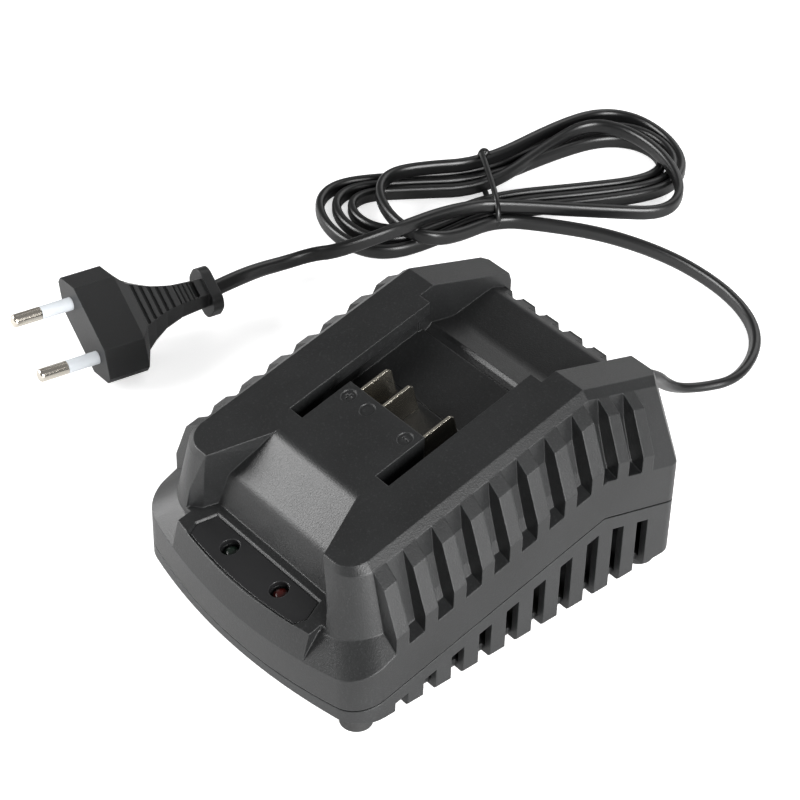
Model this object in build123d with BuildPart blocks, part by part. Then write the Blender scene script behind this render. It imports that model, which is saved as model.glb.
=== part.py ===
from build123d import *
import math
import os

os.makedirs("parts", exist_ok=True)

# Battery charger for slide-in tool packs. Millimetres, +Z up, front at -Y.
# The origin is under the middle of the housing, on the surface that its feet stand on.

# ---------------------------------------------------------------- housing, overall
half_width = 45.1
front_y = -57.5
rear_y = 57.5
front_bow = 6.1
front_corner_radius = 9.5
rear_corner_radius = 5.0
foot_height = 4.6
shell_wall = 2.2
bottom_edge_round = 0.8
cavity_front_y = -36.0
cavity_rear_y = 51.3
bay_half_width = 38.0
bay_front_y = -52.8
bay_roof = 3.0

# The deck, the parting line and the fins run parallel: uphill to the bend, then down to the rear.
deck_slope = 0.26
rear_slope = 0.30
bend_y = 29.0
parting_z = 23.15
parting_margin = 5.0
seam_height = 0.5
seam_depth = 0.7

# Heights above the parting line, and half widths, that shape the sides.
sill_rise = 12.2
sill_inner_rise = 13.3
sill_inner_x = 41.1
wall_foot_rise = 16.4
wall_foot_x = 39.8
wall_mid_rise = 25.3
wall_mid_x = 36.8
slot_top_rise = 32.6
slot_top_x = 35.8
deck_rise = 34.6
deck_edge_x = 33.5
fin_face_rise = 17.3
fin_shoulder_rise = 29.6
fin_shoulder_x = 40.0

# Cooling fins along each side and across the rear.
fin_pitch = 9.1
fin_width = 4.0
first_fin_y = -40.5
side_fin_count = 10
rear_fin_pitch = 9.2
rear_slot_width = 4.4
rear_slot_count = 5
rear_shoulder_y = 55.0
rear_shoulder_z = 54.6
rear_deck_y = 53.2
rear_slot_depth = 2.6
rear_edge_drop = 0.5
rear_edge_inset = 0.9
corner_cut_low_x = 42.1
corner_cut_top_x = 30.9
corner_cut_slope = 0.85
corner_cut_reach = 16.0

# Front shoulders, apron and hump.
apron_front_z = 16.9
apron_inset = 6.65
apron_rise = 4.3
shoulder_base_rise = 12.0
shoulder_base_x = 41.4
shoulder_base_y = -50.1
shoulder_base_radius = 13.0
shoulder_top_y = -46.6
shoulder_top_radius = 8.0
shoulder_deck_y = -46.0
shoulder_deck_radius = 6.5
bezel_half_width = 27.0
bezel_inset = 4.9
bezel_rise = 6.65
hump_top_x = 16.4
hump_top_y = -29.8
hump_nose_y = -40.5
hump_nose_z = 38.0
hump_foot_y = -42.6
hump_crease_round = 5.0
hump_nose_round = 5.5
recess_x = 23.9
recess_y = -46.3
recess_draft = 1.8
recess_draft_drop = 4.0
facet_width = 3.2
facet_length = 2.0

# Indicator window in the sloping front panel.
window_mid_y = -49.3
window_mid_z = 26.3
window_slope = 0.224
window_rear_x = 20.7
window_rear_y = -45.3
window_side_x = 22.6
window_side_y = -50.5
window_front_x = 21.3
window_front_y = -53.5
window_bow = 1.5
window_sink = 0.5
window_thickness = 1.6
window_clearance = 0.15
window_margin_bevel = 1.0
window_margin_height = 1.0
led_hole_x = 10.1
led_hole_diameter = 5.2

# Battery dock.
dock_depth = 12.0
rail_half_gap = 19.6
lip_thickness = 3.9
under_lip_x = 24.0
dock_front_y = -22.3
lip_rear_y = 24.4
tongue_half_width = 14.6
tongue_rear_y = -6.5
tongue_wall = 2.2
mouth_half_width = 23.6
dock_wall = 2.4
sill_start_y = 25.6
sill_end_y = 28.9
sill_groove = 0.9
valley_y = 36.8
valley_z = 51.8
mouth_edge_y = 50.5
mouth_edge_z = 55.0
mouth_drop_y = 54.6
mouth_drop_z = 53.3
mouth_edge_round = 2.0
valley_round = 6.0
mark_diameter = 4.2
mark_depth = 0.3
mark_stroke = 0.5
mark_span = 2.2
mark_y = -9.9
mark_outer_x = 11.1
mark_inner_x = 3.7

# Contacts.
blade_thickness = 0.8
blade_outer_x = 12.3
blade_inner_x = 3.6
blade_front_y = -6.4
blade_rear_y = 4.1
blade_top_drop = 2.5
blade_root_step = 1.2
blade_corner = 1.0
carrier_clearance = 0.2
carrier_base = 3.6
carrier_flange = 1.2
carrier_flange_reach = 1.5
carrier_front_y = -5.0
carrier_rear_y = 8.4
contact_lead_diameter = 1.4
contact_lead_y = 0.5

# Lower shell vents.
vent_width = 4.2
first_vent_right_y = -36.2
vent_count = 10
vent_top_drop = 4.6
vent_depth = 3.4

# Screws and their posts.
screw_x = 35.5
front_screw_y = -36.0
rear_screw_y = 33.0
screw_diameter = 2.9
screw_head_diameter = 5.4
screw_head_height = 2.0
screw_engagement = 7.0
screw_clearance = 0.15
post_diameter = 7.6
lower_post_diameter = 8.6
screw_clamp = 4.5
screw_tip_room = 1.0
screw_drive = 2.4
screw_drive_depth = 1.0
boss_top_rise = 13.0
rib_half = 0.8
rib_drop = 2.0

# Feet.
foot_diameter = 8.6
foot_x = 37.5
foot_front_y = -46.6
foot_rear_y = 51.6
foot_pocket = 1.2
foot_clearance = 0.1
foot_chamfer = 0.4

# Circuit board and what it carries.
board_thickness = 1.6
board_z = 13.0
board_half_width = 30.0
board_front_y = -34.0
board_rear_y = 44.0
board_tab_half_width = 16.0
board_tab_y = -51.0
board_post_diameter = 6.0
board_screw_x = 26.0
board_screw_front_y = -30.0
board_screw_rear_y = 40.0
board_screw_diameter = 2.4
board_screw_head = 4.6
board_screw_head_height = 1.7
board_screw_engagement = 3.2
led_diameter = 5.0
led_flange_diameter = 5.8
led_flange_height = 1.0
led_height = 7.0
led_recess = 1.2
led_lead_diameter = 0.6
led_lead_half_gap = 1.27
led_dome_flat = 0.3
guide_half_width = 15.5
guide_half_depth = 3.8
guide_height = 8.0
transformer_x = -12.0
transformer_y = 13.0
transformer_width = 26.0
transformer_depth = 11.0
winding_depth = 21.0
transformer_height = 18.0
transformer_limb = 4.0
transformer_centre_limb = 9.0
winding_gap = 0.2
mains_capacitor_x = 15.0
mains_capacitor_y = 21.0
mains_capacitor_diameter = 16.0
mains_capacitor_height = 20.0
output_capacitor_x = -14.0
output_capacitor_y = -24.0
output_capacitor_diameter = 10.0
output_capacitor_height = 14.0
choke_x = -18.0
choke_y = 34.0
choke_diameter = 14.0
choke_bore = 6.0
choke_height = 9.0
filter_capacitor_x = 0.0
filter_capacitor_y = 37.0
filter_capacitor_width = 13.0
filter_capacitor_depth = 6.5
filter_capacitor_height = 11.0
heat_sink_x = 23.0
heat_sink_y = 0.0
heat_sink_length = 24.0
heat_sink_base = 2.0
heat_sink_width = 10.0
heat_sink_height = 18.0
heat_sink_fins = 5
heat_sink_fin = 1.4
transistor_width = 10.0
transistor_thickness = 4.5
transistor_height = 15.0
transistor_leg = 2.0
transistor_leg_pitch = 2.5
transistor_leg_width = 0.8
fuse_x = 19.0
fuse_y = 34.0
fuse_diameter = 5.0
fuse_length = 16.0
fuse_cap = 4.0
fuse_glass_diameter = 4.4
rectifier_x = -2.0
rectifier_y = 26.0
rectifier_width = 10.0
rectifier_thickness = 3.6
rectifier_height = 9.0
rectifier_corner = 2.0
capacitor_round = 0.8
capacitor_score = 0.4
chip_x = 12.0
chip_y = -24.0
chip_length = 10.0
chip_width = 5.4
chip_height = 1.8
chip_standoff = 0.3
chip_pins = 8
chip_pin_pitch = 1.27
chip_pin_width = 0.5
chip_pin_reach = 1.0

# Cord, gland, hank and plug.
cord_diameter = 3.8
gland_flange_x = 5.6
gland_flange_z = 5.2
gland_flange_thickness = 1.8
gland_neck_x = 4.4
gland_neck_z = 3.9
gland_tip_x = 3.1
gland_tip_z = 2.7
gland_length = 20.0
gland_clearance = 0.1
gland_groove_count = 4
gland_groove_pitch = 3.6
gland_groove_width = 1.2
gland_groove_inset = 0.7
mains_lead_diameter = 2.0
mains_lead_half_gap = 1.3
mains_lead_y = 42.3
mains_lead_bend = 3.0
cord_lead_out = 10.0
bend_share = 0.45
hank_height = 10.5
tie_thickness = 1.6
tie_width = 2.2

# Plug, measured forwards along its pins from the middle of its face.
plug_half_width = 17.65
plug_edge_half = 1.2
plug_ridge_half_width = 10.7
plug_half_height = 6.85
plug_body_length = 13.1
plug_neck_sections = [
    (15.9, 12.4, 6.4),
    (19.5, 9.8, 5.9),
    (24.3, 7.2, 5.3),
    (30.5, 5.4, 4.7),
    (39.6, 4.6, 4.2),
]
plug_lead_in = 9.0
plug_collar_length = 3.4
plug_collar_half_width = 7.5
plug_collar_half_height = 5.1
plug_collar_round = 4.0
plug_groove_count = 5
plug_first_groove = 17.6
plug_groove_pitch = 2.5
plug_groove_width = 1.1
plug_groove_depth = 0.6
fine_groove_count = 5
fine_groove_pitch = 1.5
fine_groove_width = 0.6
fine_groove_depth = 0.35
plug_slot_distance = 36.6
plug_slot_length = 5.0
plug_slot_width = 1.6
plug_slot_depth = 1.6
pin_spread = 9.3
pin_diameter = 4.0
pin_length = 19.0
pin_root = 8.0
pin_neck_diameter = 3.2
pin_tip_round = 1.0
plug_tip_y = -31.0
sleeve_length = 10.0
plug_face = (-125.5, -16.1, 11.9)
plug_yaw = -96.7
plug_pitch = 2.4
plug_roll = -29.7

# The cord's route: middle of the cord at each bend, from the gland to the hank and on to the plug.
cord_rest_z = cord_diameter / 2
gland_end_y = rear_y + gland_length
housing_route = [
    (-1.5, 96.8, 15.0),
    (-3.8, 103.0, 8.0),
    (-2.5, 112.0, 3.0),
    (2.4, 126.0, cord_rest_z),
    (-5.0, 143.8, cord_rest_z),
    (-20.0, 153.6, cord_rest_z),
    (-38.0, 157.2, cord_rest_z),
    (-60.0, 155.0, cord_rest_z),
    (-80.0, 146.5, cord_rest_z),
    (-96.1, 132.6, cord_rest_z),
]
plug_route = [
    (-113.6, 93.0, 7.0),
    (-112.5, 82.0, 9.0),
    (-121.0, 66.0, 5.4),
    (-123.8, 50.5, 5.4),
]
hank_outline = [
    (-93.1, 129.4),
    (-98.2, 124.0),
    (-107.3, 107.9),
    (-112.9, 93.8),
    (-116.1, 78.3),
    (-131.8, 81.8),
    (-143.6, 85.7),
    (-150.7, 91.8),
    (-152.7, 100.8),
    (-149.7, 111.9),
    (-141.6, 123.1),
    (-130.5, 135.2),
    (-128.5, 153.3),
    (-129.0, 171.5),
    (-127.0, 186.6),
    (-122.4, 200.8),
    (-112.4, 209.9),
    (-100.2, 207.8),
    (-91.2, 198.8),
    (-81.1, 184.6),
    (-77.0, 170.5),
    (-79.0, 155.3),
    (-85.1, 147.8),
    (-99.2, 135.7),
]
hank_round = 3.0
tie_middle = (-113.7, 132.1)
tie_half_span = 16.0
tie_angle = -31.0
tie_margin = 0.3
hank_waist_height = 8.4


def level(y, rise):
    """Height at y of a line that runs `rise` above the parting line."""
    front = parting_z + rise + deck_slope * min(y, bend_y)
    return front - rear_slope * max(y - bend_y, 0.0)


def deck(y):
    """Height of the deck at y."""
    return level(y, deck_rise)


def window_z(y):
    """Height of the front panel at y."""
    return window_mid_z + window_slope * (y - window_mid_y)


def side_plane(y):
    """Upright cross plane at y: local x is X and local y is Z."""
    return Plane.XZ.offset(-y)


def slanted_plane(y, z, slope):
    """Plane through (0, y, z) that climbs by `slope` towards +Y."""
    return Plane(origin=(0, y, z), x_dir=(1, 0, 0), z_dir=(0, -slope, 1))


def along(slope, run):
    """Length, on a plane that climbs by `slope`, of a level run."""
    return run * math.hypot(1.0, slope)


def mirrored(points):
    """Closed outline from the points of its right side."""
    return points + [(-x, z) for x, z in reversed(points)]


def span(x, low, high):
    """Closed outline of a band x to each side of the middle, between two rises."""
    return [(-x, low), (x, low), (x, high), (-x, high)]


def cross_profile(points, half_span, mode=Mode.ADD, middle=0.0):
    """Prism of a side profile of (y, z) points, half_span to each side of x = middle."""
    with BuildSketch(Plane.YZ.offset(middle)) as profile:
        Polygon(*points, align=None)
    extrude(profile.sketch, amount=half_span, both=True, mode=mode)


def run_section(outline, y_start, y_end, mode=Mode.ADD):
    """Carry an outline of (x, rise) points along the housing's slopes."""
    spans = []
    if y_start < bend_y:
        spans.append((y_start, min(y_end, bend_y), deck_slope))
    if y_end > bend_y:
        spans.append((max(y_start, bend_y), y_end, -rear_slope))
    for start, end, slope in spans:
        with BuildSketch(side_plane(start)) as section:
            Polygon(*[(x, level(start, rise)) for x, rise in outline], align=None)
        extrude(section.sketch, amount=along(slope, end - start), dir=(0, 1, slope), mode=mode)


def upright(x, y, diameter, bottom, top, mode=Mode.ADD):
    """Upright cylinder between two heights."""
    with BuildSketch(Plane.XY.offset(bottom)) as disc:
        with Locations((x, y)):
            Circle(diameter / 2)
    extrude(disc.sketch, amount=top - bottom, mode=mode)


def block(x_low, x_high, y_low, y_high, bottom, top, mode=Mode.ADD):
    """Box from its limits."""
    with BuildSketch(Plane.XY.offset(bottom)) as base:
        with Locations(((x_low + x_high) / 2, (y_low + y_high) / 2)):
            Rectangle(x_high - x_low, y_high - y_low)
    extrude(base.sketch, amount=top - bottom, mode=mode)


def round_plan(inset=0.0):
    """Plan of the housing: bowed front, straight sides and rounded corners."""
    side = half_width - inset
    front_side_y = front_y + front_bow + inset
    with BuildSketch() as plan:
        with BuildLine():
            ThreePointArc((-side, front_side_y), (0, front_y + inset), (side, front_side_y))
            Polyline(
                (side, front_side_y),
                (side, rear_y - inset),
                (-side, rear_y - inset),
                (-side, front_side_y),
            )
        make_face()
        fillet(plan.vertices().group_by(Axis.Y)[0], front_corner_radius - inset)
        fillet(plan.vertices().group_by(Axis.Y)[-1], rear_corner_radius - inset)
    return plan.sketch


def apron_z(y):
    """Height of the apron's lower edge at y."""
    return apron_front_z + apron_slope * (y - front_y)


def bowed_outline(slope, inset, radius):
    """Bowed front end, drawn on a plane that climbs by `slope` and has its origin at y = 0."""
    side = half_width - inset
    corner = along(slope, front_y + front_bow) + inset
    back = along(slope, front_join_y)
    with BuildLine() as outline:
        ThreePointArc((-side, corner), (0, along(slope, front_y) + inset), (side, corner))
        Polyline((side, corner), (side, back), (-side, back), (-side, corner))
    make_face(outline.edges())
    fillet(vertices().group_by(Axis.Y)[0], radius)


def shoulder_outline(side, front, radius):
    """Square front end with rounded corners, on a plane parallel to the deck."""
    near = along(deck_slope, front)
    back = along(deck_slope, hump_top_y)
    Polygon((side, near), (side, back), (-side, back), (-side, near), align=None)
    fillet(vertices().group_by(Axis.Y)[0], radius)


def window_outline(grow):
    """Indicator window on the front panel's plane, grown all round."""

    def local(y):
        return along(window_slope, y - window_mid_y)

    with BuildLine() as outline:
        Polyline(
            (-window_front_x, local(window_front_y)),
            (-window_side_x, local(window_side_y)),
            (-window_rear_x, local(window_rear_y)),
            (window_rear_x, local(window_rear_y)),
            (window_side_x, local(window_side_y)),
            (window_front_x, local(window_front_y)),
        )
        ThreePointArc(
            (window_front_x, local(window_front_y)),
            (0, local(window_front_y - window_bow)),
            (-window_front_x, local(window_front_y)),
        )
    make_face(outline.edges())
    if grow:
        offset(amount=grow, kind=Kind.INTERSECTION)


reach = 120.0
parting_front_y = front_y - parting_margin
parting_rear_y = rear_y + parting_margin
front_join_y = first_fin_y + 2.5
apron_slope = (level(first_fin_y, sill_rise) - apron_front_z) / (first_fin_y - front_y)
apron_plane = slanted_plane(0, apron_z(0), apron_slope)
window_plane = slanted_plane(window_mid_y, window_mid_z, window_slope)
plan = round_plan()
inner_plan = round_plan(shell_wall)
parting_line = [
    (parting_front_y, level(parting_front_y, 0)),
    (bend_y, level(bend_y, 0)),
    (parting_rear_y, level(parting_rear_y, 0)),
]
below_parting = parting_line + [(parting_rear_y, -reach), (parting_front_y, -reach)]
above_parting = parting_line + [(parting_rear_y, reach), (parting_front_y, reach)]
last_fin_y = first_fin_y + (side_fin_count - 1) * fin_pitch + fin_width
base_plan = Pos(0, 0, foot_height) * plan
floor_plan = Pos(0, 0, foot_height + shell_wall) * inner_plan
floor_rise = deck_rise - dock_depth
gland_z = level(rear_y, 0)
board_top = board_z + board_thickness
mark_plane = slanted_plane(mark_y, deck(mark_y), deck_slope)
mains_capacitor_top = board_top + mains_capacitor_height
output_capacitor_top = board_top + output_capacitor_height
chip_pin_top = board_top + chip_standoff * 2
tie_turn = math.radians(tie_angle)
tie_plane = Plane(
    origin=(*tie_middle, 0),
    x_dir=(math.cos(tie_turn), math.sin(tie_turn), 0),
    z_dir=(math.sin(tie_turn), -math.cos(tie_turn), 0),
)
waist_half_span = tie_half_span - tie_thickness - tie_margin
tie_middle_z = tie_thickness + tie_margin + hank_waist_height / 2
plug_place = Pos(*plug_face) * Rot(0, 0, plug_yaw) * Rot(0, -plug_pitch, 0) * Rot(plug_roll, 0, 0)
plug_back = plug_neck_sections[-1][0] + plug_collar_length

# ---------------------------------------------------------------- upper housing
slot_section = mirrored(
    [
        (half_width, 0),
        (half_width, sill_rise),
        (sill_inner_x, sill_inner_rise),
        (wall_foot_x, wall_foot_rise),
        (wall_mid_x, wall_mid_rise),
        (slot_top_x, slot_top_rise),
        (deck_edge_x, deck_rise),
    ]
)
fin_section = mirrored(
    [
        (half_width, 0),
        (half_width, fin_face_rise),
        (fin_shoulder_x, fin_shoulder_rise),
        (slot_top_x, slot_top_rise),
        (deck_edge_x, deck_rise),
    ]
)
corner_section = mirrored(
    [
        (half_width, 0),
        (half_width, sill_rise),
        (slot_top_x, slot_top_rise),
        (deck_edge_x, deck_rise),
    ]
)
cavity_section = mirrored(
    [
        (half_width - shell_wall, 0),
        (half_width - shell_wall, sill_rise - shell_wall),
        (sill_inner_x - shell_wall, sill_inner_rise - shell_wall),
        (wall_foot_x - shell_wall, wall_foot_rise),
        (wall_mid_x - shell_wall, wall_mid_rise),
        (slot_top_x - shell_wall, slot_top_rise - shell_wall),
        (under_lip_x + shell_wall, slot_top_rise - shell_wall),
        (under_lip_x + shell_wall, deck_rise - dock_depth - dock_wall),
    ]
)
dock_section = mirrored(
    [
        (under_lip_x, deck_rise - dock_depth),
        (under_lip_x, deck_rise - lip_thickness),
        (rail_half_gap, deck_rise - lip_thickness),
        (rail_half_gap, deck_rise + lip_thickness),
    ]
)
rear_profile = [
    (parting_rear_y, -reach),
    (rear_y, -reach),
    (rear_y, level(rear_y, fin_face_rise)),
    (rear_shoulder_y, rear_shoulder_z),
    (rear_deck_y, deck(rear_deck_y)),
    (rear_deck_y, reach),
    (parting_rear_y, reach),
]
rear_shoulder_profile = [
    (parting_rear_y, -reach),
    (rear_y, -reach),
    (rear_y, level(rear_y, slot_top_rise) - rear_edge_drop),
    (rear_y - rear_edge_inset, deck(rear_y - rear_edge_inset)),
    (rear_y - rear_edge_inset, reach),
    (parting_rear_y, reach),
]
rear_slot_profile = [
    (parting_rear_y, level(rear_y, sill_rise)),
    (rear_y, level(rear_y, sill_rise)),
    (rear_y - rear_slot_depth, level(rear_y, sill_inner_rise)),
    (rear_shoulder_y - rear_slot_depth, rear_shoulder_z),
    (rear_shoulder_y - rear_slot_depth / 2, reach),
    (parting_rear_y, reach),
]

with BuildPart() as front_band:
    extrude(plan, amount=reach)
    cross_profile(
        [
            (parting_front_y, 0),
            (front_join_y, 0),
            (front_join_y, apron_z(front_join_y)),
            (parting_front_y, apron_z(parting_front_y)),
        ],
        reach,
        Mode.INTERSECT,
    )

with BuildPart() as apron:
    with BuildSketch(apron_plane):
        bowed_outline(apron_slope, 0, front_corner_radius)
    with BuildSketch(apron_plane.offset(apron_rise)):
        bowed_outline(apron_slope, apron_inset, front_corner_radius)
    loft(ruled=True)

with BuildPart() as shoulders:
    with BuildSketch(slanted_plane(0, parting_z + shoulder_base_rise, deck_slope)):
        shoulder_outline(shoulder_base_x, shoulder_base_y, shoulder_base_radius)
    with BuildSketch(slanted_plane(0, parting_z + slot_top_rise, deck_slope)):
        shoulder_outline(slot_top_x, shoulder_top_y, shoulder_top_radius)
    with BuildSketch(slanted_plane(0, parting_z + deck_rise, deck_slope)):
        shoulder_outline(deck_edge_x, shoulder_deck_y, shoulder_deck_radius)
    loft(ruled=True)

with BuildPart() as bezel:
    with BuildSketch(apron_plane):
        bowed_outline(apron_slope, 0, front_corner_radius)
    with BuildSketch(apron_plane.offset(bezel_rise)):
        bowed_outline(apron_slope, bezel_inset, front_corner_radius)
    loft(ruled=True)
    cross_profile(
        [
            (parting_front_y, 0),
            (front_join_y, 0),
            (front_join_y, window_z(front_join_y) + window_sink),
            (parting_front_y, window_z(parting_front_y) + window_sink),
        ],
        bezel_half_width,
        Mode.INTERSECT,
    )

# Space in front of the hump: its walls flare towards the front and lean outwards at their feet.
flare_slope = (recess_x - hump_top_x) / (hump_top_y - recess_y)
flare_end_y = recess_y - facet_length
recess_floor_z = window_z(hump_foot_y) + window_sink


def flare(widen):
    """Plan of the space between the shoulders."""
    corners = [
        (hump_top_x + widen, hump_top_y + hump_crease_round),
        (hump_top_x + widen, hump_top_y),
        (recess_x + widen, recess_y),
        (recess_x + facet_width + widen, flare_end_y),
        (recess_x + facet_width + widen, parting_front_y),
    ]
    Polygon(*mirrored(corners), align=None)


with BuildPart() as front_recess:
    with BuildSketch(Plane.XY.offset(recess_floor_z - recess_draft_drop)):
        flare(recess_draft)
    with BuildSketch(Plane.XY.offset(deck(recess_y))):
        flare(0)
    with BuildSketch(Plane.XY.offset(reach)):
        flare(0)
    loft(ruled=True)
    with BuildSketch(Plane.YZ):
        with BuildLine():
            Polyline(
                (hump_top_y + hump_crease_round, reach),
                (hump_top_y + hump_crease_round, deck(hump_top_y + hump_crease_round)),
                (hump_top_y, deck(hump_top_y)),
                (hump_nose_y, hump_nose_z),
                (hump_foot_y, recess_floor_z),
                (parting_front_y, window_z(parting_front_y) + window_sink),
                (parting_front_y, reach),
                close=True,
            )
        make_face()
        fillet(vertices().sort_by_distance((hump_top_y, deck(hump_top_y)))[0], hump_crease_round)
        fillet(vertices().sort_by_distance((hump_nose_y, hump_nose_z))[0], hump_nose_round)
    extrude(amount=reach, both=True, mode=Mode.INTERSECT)

with BuildPart() as window_pocket:
    with BuildSketch(window_plane):
        window_outline(window_clearance)
    extrude(amount=-window_thickness)
    with BuildSketch(window_plane):
        window_outline(window_clearance)
    with BuildSketch(window_plane.offset(window_margin_height)):
        window_outline(window_clearance + window_margin_bevel)
    loft(ruled=True)

with BuildPart() as dock_space:
    run_section(dock_section, dock_front_y, lip_rear_y)
    with BuildSketch(Plane.YZ):
        with BuildLine():
            Polyline(
                (lip_rear_y, deck(lip_rear_y) - dock_depth),
                (sill_start_y, deck(sill_start_y) - dock_depth),
                (sill_start_y + sill_groove, deck(sill_start_y) - dock_depth - sill_groove),
                (sill_end_y - sill_groove, deck(sill_end_y) - dock_depth - sill_groove),
                (sill_end_y, deck(sill_end_y) - dock_depth),
                (valley_y, valley_z),
                (mouth_edge_y, mouth_edge_z),
                (mouth_drop_y, mouth_drop_z),
                (parting_rear_y, mouth_drop_z),
                (parting_rear_y, reach),
                (lip_rear_y, reach),
                close=True,
            )
        make_face()
        fillet(vertices().sort_by_distance((mouth_edge_y, mouth_edge_z))[0], mouth_edge_round)
        fillet(vertices().sort_by_distance((valley_y, valley_z))[0], valley_round)
    extrude(amount=mouth_half_width, both=True)
    run_section(
        span(tongue_half_width, deck_rise - dock_depth, deck_rise + dock_depth),
        dock_front_y,
        tongue_rear_y,
        Mode.SUBTRACT,
    )

with BuildPart() as upper_housing:
    run_section(slot_section, first_fin_y, rear_y)
    for number in range(side_fin_count):
        fin_start_y = first_fin_y + number * fin_pitch
        run_section(fin_section, fin_start_y, fin_start_y + fin_width)
    run_section(corner_section, last_fin_y - fin_width / 2, rear_y)
    add(front_band.part)
    add(apron.part)
    add(shoulders.part)
    add(bezel.part)
    extrude(plan, amount=reach, mode=Mode.INTERSECT)
    cross_profile(rear_shoulder_profile, reach, Mode.SUBTRACT)
    cross_profile(rear_profile, mouth_half_width, Mode.SUBTRACT)
    # Slanting cuts across the rear corners, above the sill.
    for side in (-1, 1):
        inner_x = side * (corner_cut_low_x - corner_cut_reach)
        outer_x = side * (corner_cut_low_x + corner_cut_reach)
        cut_depth = corner_cut_slope * corner_cut_reach
        with BuildSketch(Plane.XY.offset(level(rear_y, sill_rise))) as corner:
            Polygon(
                (inner_x, rear_y + cut_depth),
                (outer_x, rear_y + cut_depth),
                (outer_x, rear_y - cut_depth),
                align=None,
            )
        lean = side * (corner_cut_top_x - corner_cut_low_x)
        extrude(corner.sketch, amount=reach / 2, dir=(lean, 0, deck_rise - sill_rise), mode=Mode.SUBTRACT)
    for number in range(rear_slot_count):
        slot_x = (number - (rear_slot_count - 1) / 2) * rear_fin_pitch
        cross_profile(rear_slot_profile, rear_slot_width / 2, Mode.SUBTRACT, slot_x)
    cross_profile(below_parting, reach, Mode.SUBTRACT)
    add(front_recess.part, mode=Mode.SUBTRACT)
    add(window_pocket.part, mode=Mode.SUBTRACT)
    add(dock_space.part, mode=Mode.SUBTRACT)
    # Hollow for the works, with a low bay under the window and a space under the tongue.
    run_section(cavity_section, cavity_front_y, cavity_rear_y, Mode.SUBTRACT)
    run_section(
        span(bay_half_width, 0, sill_rise - shell_wall), cavity_rear_y, rear_y - shell_wall, Mode.SUBTRACT
    )
    cross_profile(
        [
            (bay_front_y, 0),
            (cavity_front_y, 0),
            (cavity_front_y, window_z(cavity_front_y) - bay_roof),
            (bay_front_y, window_z(bay_front_y) - bay_roof),
        ],
        window_rear_x,
        Mode.SUBTRACT,
    )
    run_section(
        span(tongue_half_width - tongue_wall, deck_rise - dock_depth - dock_wall, deck_rise - tongue_wall),
        dock_front_y,
        tongue_rear_y - tongue_wall,
        Mode.SUBTRACT,
    )
    # Opening for the contact carrier in the dock floor.
    run_section(
        span(tongue_half_width, deck_rise - dock_depth - dock_wall, deck_rise - lip_thickness),
        carrier_front_y - carrier_clearance,
        carrier_rear_y + carrier_clearance,
        Mode.SUBTRACT,
    )
    # Screw posts, each tied to the side wall by a rib.
    for side in (-1, 1):
        for post_y in (front_screw_y, rear_screw_y):
            boss_top = level(post_y, boss_top_rise)
            upright(side * screw_x, post_y, post_diameter, 0, boss_top)
            rib_low, rib_high = sorted((side * screw_x, side * (half_width - shell_wall / 2)))
            block(rib_low, rib_high, post_y - rib_half, post_y + rib_half, 0, boss_top - rib_drop)
    cross_profile(below_parting, reach, Mode.SUBTRACT)
    for side in (-1, 1):
        for post_y in (front_screw_y, rear_screw_y):
            hole_top = level(post_y, screw_engagement + screw_tip_room)
            upright(side * screw_x, post_y, screw_diameter, 0, hole_top, Mode.SUBTRACT)
    # Neck of the gland.
    with BuildSketch(side_plane(parting_rear_y)):
        with Locations((0, gland_z)):
            Ellipse(gland_neck_x + gland_clearance, gland_neck_z + gland_clearance)
    extrude(amount=parting_rear_y - cavity_rear_y, mode=Mode.SUBTRACT)
    # Ways for the indicator lamps through the ledge under the window.
    with BuildSketch(window_plane):
        with Locations((-led_hole_x, 0), (led_hole_x, 0)):
            Circle(led_hole_diameter / 2)
    extrude(amount=-bay_roof - window_thickness, mode=Mode.SUBTRACT)
    # Polarity marks in shallow round recesses on the tongue.
    with BuildSketch(mark_plane):
        with Locations((-mark_outer_x, 0), (-mark_inner_x, 0), (mark_outer_x, 0)):
            Circle(mark_diameter / 2)
    extrude(amount=-mark_depth, mode=Mode.SUBTRACT)
    with BuildSketch(mark_plane):
        with Locations((-mark_outer_x, 0), (mark_outer_x, 0)):
            Rectangle(mark_span, mark_stroke)
        with Locations((-mark_outer_x, 0)):
            Rectangle(mark_stroke, mark_span)
    extrude(amount=-2 * mark_depth, mode=Mode.SUBTRACT)
upper_housing.part.label = "upper_housing"
export_step(upper_housing.part, "parts/upper_housing.step")

# ---------------------------------------------------------------- lower housing
# Narrow groove round the lower housing, just under the parting line.
with BuildPart() as seam:
    extrude(plan, amount=reach)
    extrude(round_plan(seam_depth), amount=reach, mode=Mode.SUBTRACT)
    cross_profile(
        [
            (parting_front_y, level(parting_front_y, -seam_height)),
            (bend_y, level(bend_y, -seam_height)),
            (parting_rear_y, level(parting_rear_y, -seam_height)),
            (parting_rear_y, level(parting_rear_y, 0)),
            (bend_y, level(bend_y, 0)),
            (parting_front_y, level(parting_front_y, 0)),
        ],
        reach,
        Mode.INTERSECT,
    )

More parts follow.
